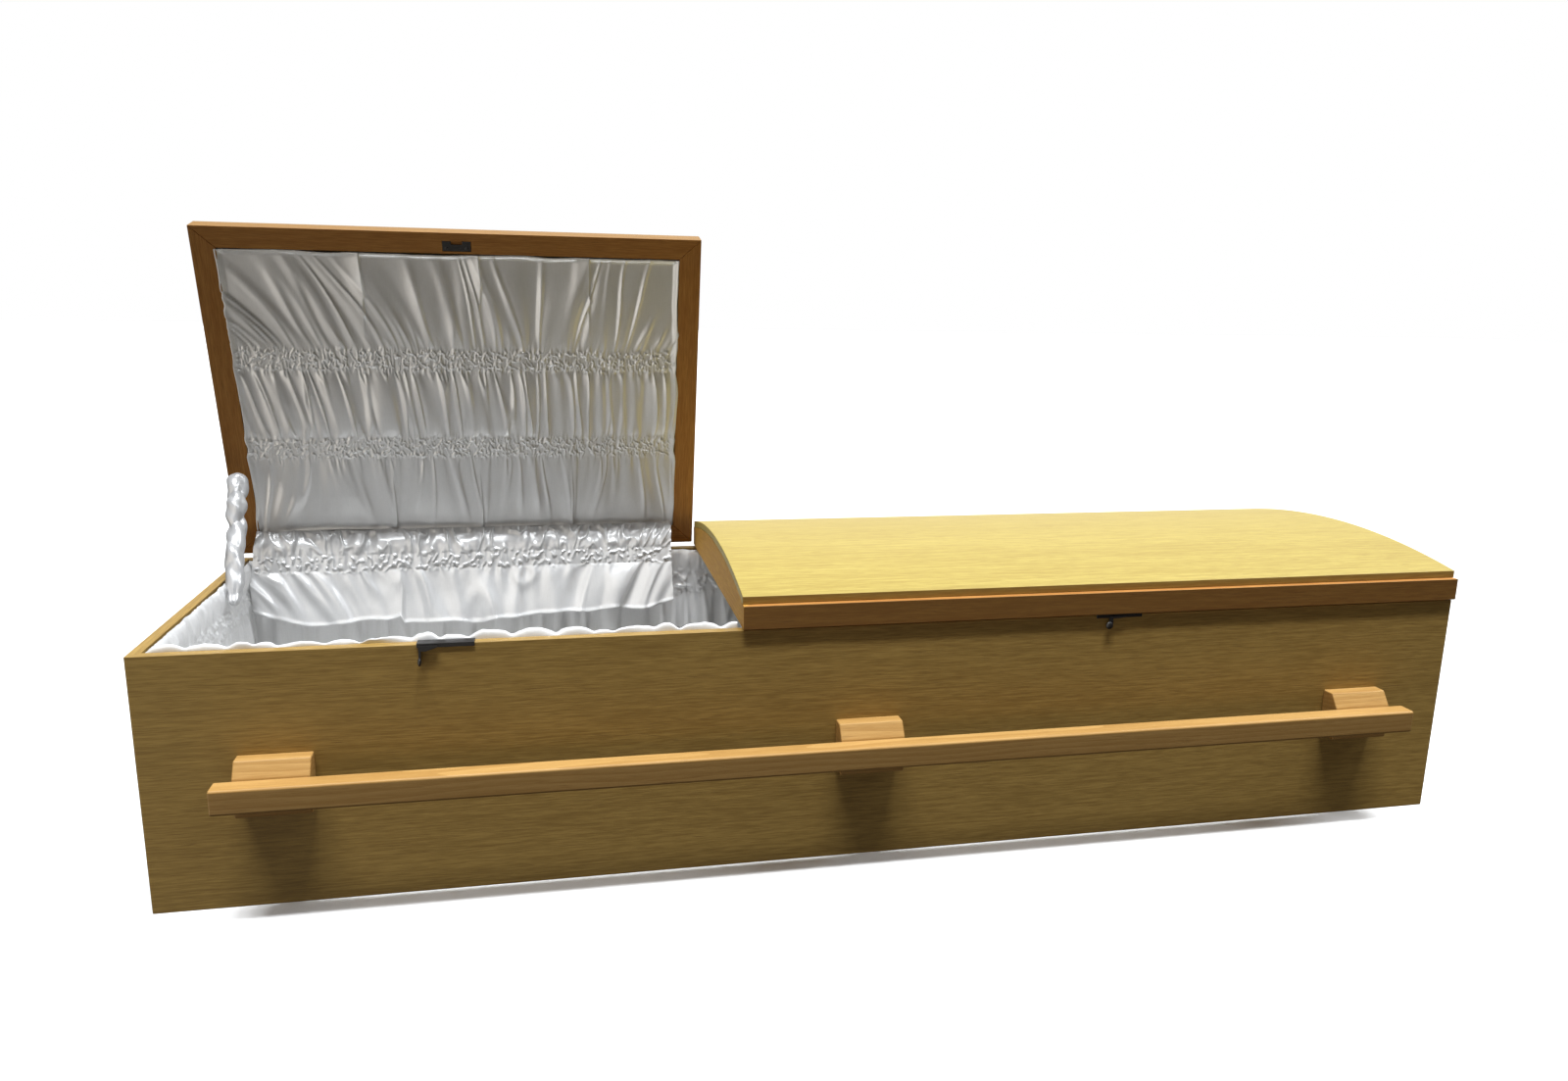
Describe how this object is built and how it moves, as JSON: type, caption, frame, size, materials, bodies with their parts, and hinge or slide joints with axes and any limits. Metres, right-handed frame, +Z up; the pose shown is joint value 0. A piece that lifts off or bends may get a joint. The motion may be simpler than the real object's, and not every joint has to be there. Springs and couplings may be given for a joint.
{
  "type": "wooden casket",
  "caption": "Long wooden casket with a split, gently domed lid, gathered satin lining and hand rails along its sides; the head lid stands open on a sleeved stay.",
  "frame": {"origin": "on the floor, under the middle of the box", "axes": "+X from the head end to the foot end, +Y from the front to the hinged back, +Z up"},
  "size_m": [2.054, 0.7152, 0.9603],
  "materials": {
    "oak_veneer": "light oak veneer, satin lacquer",
    "oak_solid": "light oak, planed and lacquered",
    "satin": "white polyester satin, gathered",
    "black_metal": "black lacquered steel"
  },
  "bodies": {
    "box": {"front_side": "oak_veneer", "back_side": "oak_veneer", "head_end": "oak_veneer", "foot_end": "oak_veneer", "floor_board": "oak_veneer", "front_hand_rail": "oak_solid", "front_rail_block_head": "oak_solid", "front_rail_block_middle": "oak_solid", "front_rail_block_foot": "oak_solid", "back_hand_rail": "oak_solid", "back_rail_block_head": "oak_solid", "back_rail_block_middle": "oak_solid", "back_rail_block_foot": "oak_solid", "head_hinge_1_box_leaf": "black_metal", "head_hinge_2_box_leaf": "black_metal", "foot_hinge_1_box_leaf": "black_metal", "foot_hinge_2_box_leaf": "black_metal", "foot_hinge_3_box_leaf": "black_metal", "head_catch_plate": "black_metal", "foot_catch_plate": "black_metal", "front_lining": "satin", "back_lining": "satin", "head_lining": "satin", "foot_lining": "satin", "floor_lining": "satin", "apron": "satin"},
    "head_lid": {"head_lid_front_rail": "oak_veneer", "head_lid_back_rail": "oak_veneer", "head_lid_head_board": "oak_veneer", "head_lid_foot_board": "oak_veneer", "head_lid_top": "oak_veneer", "head_lid_lining": "satin", "head_lid_keeper": "black_metal", "apron_strip": "satin", "head_hinge_1_lid_leaf": "black_metal", "head_hinge_2_lid_leaf": "black_metal"},
    "foot_lid": {"foot_lid_front_rail": "oak_veneer", "foot_lid_back_rail": "oak_veneer", "foot_lid_head_board": "oak_veneer", "foot_lid_foot_board": "oak_veneer", "foot_lid_top": "oak_veneer", "foot_lid_lining": "satin", "foot_lid_keeper": "black_metal", "foot_hinge_1_lid_leaf": "black_metal", "foot_hinge_2_lid_leaf": "black_metal", "foot_hinge_3_lid_leaf": "black_metal"},
    "stay": {"lid_stay": "satin"},
    "head_lever": {"head_catch_lever": "black_metal"},
    "foot_lever": {"foot_catch_lever": "black_metal"}
  },
  "joints": [
    {"name": "head_lid_hinge", "type": "hinge", "parent": "box", "child": "head_lid", "pos_m": [0, 0.2965, 0.376], "axis": [-1, 0, 0], "range_deg": [-76.5, 0]},
    {"name": "foot_lid_hinge", "type": "hinge", "parent": "box", "child": "foot_lid", "pos_m": [0, 0.2965, 0.376], "axis": [-1, 0, 0], "range_deg": [0, 76.5]},
    {"name": "stay_pivot", "type": "hinge", "parent": "box", "child": "stay", "pos_m": [-0.987, 0.091, 0.355], "axis": [0.9932, 0, 0.1165], "range_deg": [0, 129.6]},
    {"name": "head_lever_slide", "type": "slide", "parent": "box", "child": "head_lever", "axis": [1, 0, 0], "range_m": [0, 0.02]},
    {"name": "foot_lever_slide", "type": "slide", "parent": "box", "child": "foot_lever", "axis": [1, 0, 0], "range_m": [-0.02, 0]}
  ],
  "couplings": [
    {"joint": "stay_pivot", "follows": "head_lid_hinge", "ratio": -1.6939}
  ]
}
